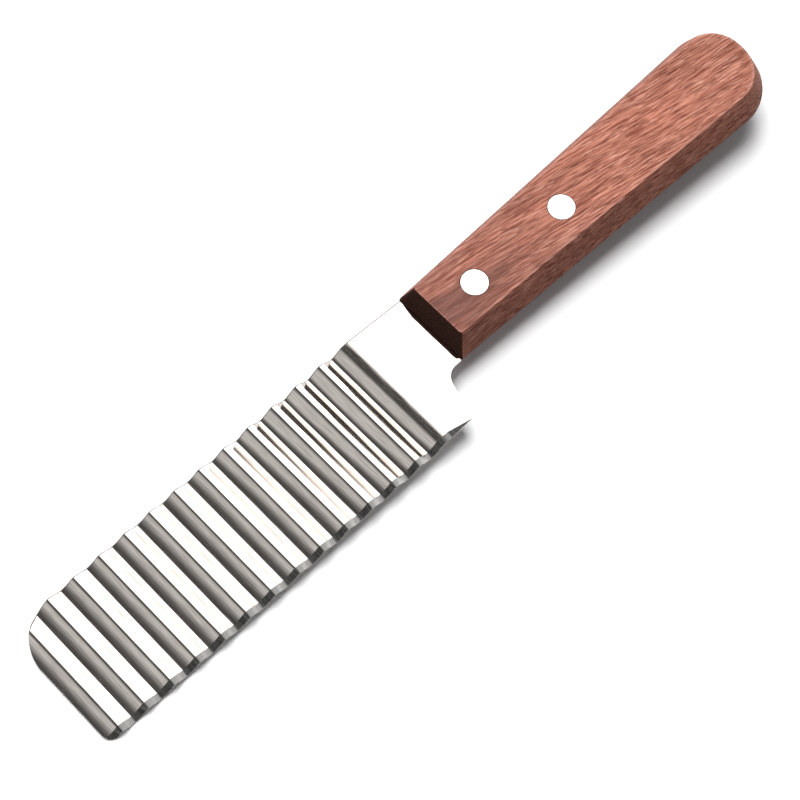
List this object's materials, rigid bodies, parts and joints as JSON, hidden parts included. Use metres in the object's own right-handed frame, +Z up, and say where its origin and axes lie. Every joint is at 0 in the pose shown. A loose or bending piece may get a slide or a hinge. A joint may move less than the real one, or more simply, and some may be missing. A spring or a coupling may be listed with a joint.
{
  "type": "crinkle cutter",
  "caption": "Hand-held crinkle cutter: a corrugated steel blade with a ground edge and a flat neck, its tang riveted into a slotted hardwood handle with a rounded butt.",
  "frame": {"origin": "middle of the knife seen from above, at the level of the handle's lower face", "axes": "+X along the knife from tip to butt, +Y towards the spine, +Z up, square to the flat of the blade"},
  "size_m": [0.245, 0.0384, 0.017],
  "materials": {
    "blade_steel": "polished stainless sheet with a ground edge",
    "handle_wood": "oiled reddish hardwood with long open grain",
    "rivet_metal": "turned, heads ground flush"
  },
  "bodies": {
    "root": {"blade": "blade_steel", "handle": "handle_wood", "front_rivet_post": "rivet_metal", "front_rivet_tube": "rivet_metal", "rear_rivet_post": "rivet_metal", "rear_rivet_tube": "rivet_metal"}
  },
  "joints": []
}
